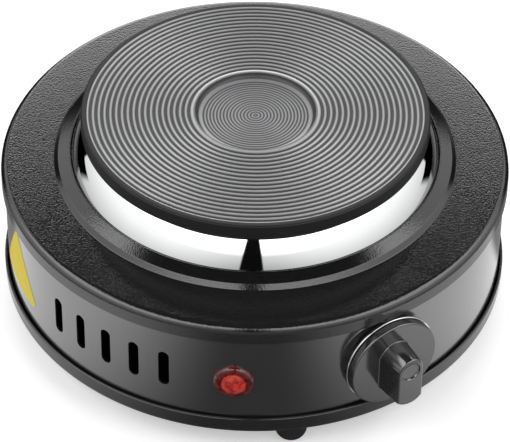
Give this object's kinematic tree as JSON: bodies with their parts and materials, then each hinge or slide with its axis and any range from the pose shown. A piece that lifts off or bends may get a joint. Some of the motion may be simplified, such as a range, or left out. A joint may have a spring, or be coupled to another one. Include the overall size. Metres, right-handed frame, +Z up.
{
  "type": "hot plate burner",
  "caption": "Round single hot plate: ring-grooved cast plate over a polished collar, black steel housing, side thermostat knob, pilot lamp, rear cord gland.",
  "frame": {"origin": "on the heating plate's axis, at the surface the four feet stand on", "axes": "+Z up along the plate's axis; -Y is the front, where the pilot lamp is; the knob is 31 degrees round towards +X"},
  "size_m": [0.1474, 0.1495, 0.065],
  "materials": {
    "textured_black_coat": "fine-grained black stove enamel",
    "satin_black_coat": "smooth satin black paint",
    "cast_plate": "turned ridges, dark heat-proof coat",
    "bright_chrome": "polished",
    "knob_plastic": "fine satin black phenolic",
    "red_lens": "clear red, moulded facets",
    "clear_rim": "clear moulded plastic",
    "black_rubber": "matt",
    "zinc_steel": "zinc plated",
    "brass": "turned",
    "spring_bronze": "rolled strip",
    "steatite": "white ceramic",
    "mica": "pale brown mica",
    "mineral_fibre": "pressed fibre",
    "resistance_alloy": "bright ribbon",
    "gland_plastic": "black polyamide",
    "neon_glass": "clear glass",
    "lead_sleeve": "white silicone sleeve"
  },
  "bodies": {
    "housing": {"top_cover": "textured_black_coat", "side_wall": "satin_black_coat", "rear_panel": "satin_black_coat", "base_pan": "textured_black_coat", "feet": "black_rubber", "base_brackets": "zinc_steel", "base_screws": "zinc_steel", "cover_brackets": "zinc_steel", "heating_plate": "cast_plate", "mica_upper": "mica", "resistance_ribbon": "resistance_alloy", "mica_lower": "mica", "insulating_pad": "mineral_fibre", "pressure_plate": "zinc_steel", "element_block": "steatite", "element_pins": "brass", "centre_stud": "zinc_steel", "plate_nut": "zinc_steel", "stud_spacer": "zinc_steel", "heat_shield": "zinc_steel", "support_bridge": "zinc_steel", "bridge_washer": "zinc_steel", "bridge_nut": "zinc_steel", "reflector_collar": "bright_chrome", "knob_bezel": "bright_chrome", "spindle_bush": "brass", "bush_nut": "zinc_steel", "thermostat_bracket": "zinc_steel", "ceramic_spools": "steatite", "adjusting_leaf": "spring_bronze", "switch_leaf": "spring_bronze", "bimetal_strip": "resistance_alloy", "ceramic_bead": "steatite", "stack_rivet": "zinc_steel", "lamp_rim": "clear_rim", "pilot_lens": "red_lens", "lamp_body": "gland_plastic", "neon_tube": "neon_glass", "lamp_clip": "zinc_steel", "cord_gland": "gland_plastic", "gland_nut": "gland_plastic", "mains_block": "steatite", "live_lead": "lead_sleeve", "heater_lead": "lead_sleeve", "neutral_lead": "lead_sleeve", "lamp_leads": "lead_sleeve", "earth_lead": "lead_sleeve"},
    "control_knob": {"knob": "knob_plastic", "adjusting_spindle": "zinc_steel", "spindle_tip": "steatite"}
  },
  "joints": [
    {"name": "knob_turn", "type": "hinge", "parent": "housing", "child": "control_knob", "pos_m": [0.03734, -0.06214, 0.0289], "axis": [-0.515, 0.8572, 0], "range_deg": [0, 300]}
  ]
}
